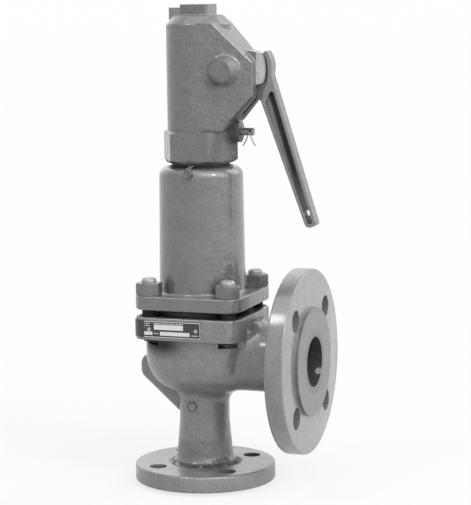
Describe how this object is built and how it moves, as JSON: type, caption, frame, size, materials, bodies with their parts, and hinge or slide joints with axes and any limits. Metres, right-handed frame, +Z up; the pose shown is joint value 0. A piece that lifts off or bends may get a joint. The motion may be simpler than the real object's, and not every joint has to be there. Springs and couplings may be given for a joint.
{
  "type": "safety relief valve",
  "caption": "Spring-loaded angle safety relief valve with flanged inlet and side outlet, bolted bonnet, cap and a hand lever that lifts the disc.",
  "frame": {"origin": "centre of the inlet's raised face, on the spindle's axis", "axes": "+Z up the spindle towards the cap, +X out of the side outlet"},
  "size_m": [0.156, 0.15, 0.3903],
  "materials": {
    "grey_cast_paint": "grey enamel over a fine sand-cast skin",
    "painted_fasteners": "grey enamel, thin over the hexagons",
    "painted_lever": "grey enamel over a malleable casting",
    "stainless_steel": "turned stainless steel",
    "turned_steel": "turned steel, lightly oiled",
    "spring_steel": "dark spring steel",
    "bronze": "turned bronze",
    "gasket_fibre": "pressed graphite fibre",
    "bare_wire": "soft bare wire",
    "lead": "dull pressed lead",
    "plate_black": "printed aluminium plate, black field with a pale border"
  },
  "bodies": {
    "root": {"body": "grey_cast_paint", "seat_ring": "stainless_steel", "guide_plate": "stainless_steel", "guide_bush": "bronze", "body_gasket": "gasket_fibre", "bonnet_gasket": "gasket_fibre", "bonnet": "grey_cast_paint", "bonnet_studs": "painted_fasteners", "bonnet_nuts": "painted_fasteners", "upper_spring_plate": "turned_steel", "setting_screw": "turned_steel", "setting_lock_nut": "turned_steel", "cap_gasket": "gasket_fibre", "cap": "grey_cast_paint", "fulcrum_pin": "stainless_steel", "fulcrum_plug": "painted_fasteners", "cap_locking_screw": "painted_fasteners", "split_pin": "bare_wire", "seal_wire": "bare_wire", "lead_seal": "lead", "nameplate": "plate_black", "nameplate_rivets": "turned_steel"},
    "lift": {"spindle": "stainless_steel", "disc": "stainless_steel", "disc_ball": "stainless_steel", "disc_retaining_ring": "turned_steel", "lower_spring_plate": "turned_steel", "spring": "spring_steel", "lift_collar": "turned_steel", "collar_nut": "turned_steel"},
    "lever": {"lever": "painted_lever", "lift_fork": "turned_steel", "fork_rivet": "turned_steel"}
  },
  "joints": [
    {"name": "lever_swing", "type": "hinge", "parent": "root", "child": "lever", "pos_m": [0.027, 0, 0.338], "axis": [0, 1, 0], "range_deg": [0, 10.6]},
    {"name": "spindle_lift", "type": "slide", "parent": "root", "child": "lift", "axis": [0, 0, 1], "range_m": [0, 0.005], "stiffness_N_per_m": 100, "springref_m": -0.02, "deforming": ["spring"]}
  ],
  "couplings": [
    {"joint": "spindle_lift", "follows": "lever_swing", "m_per_rad": 0.027}
  ]
}
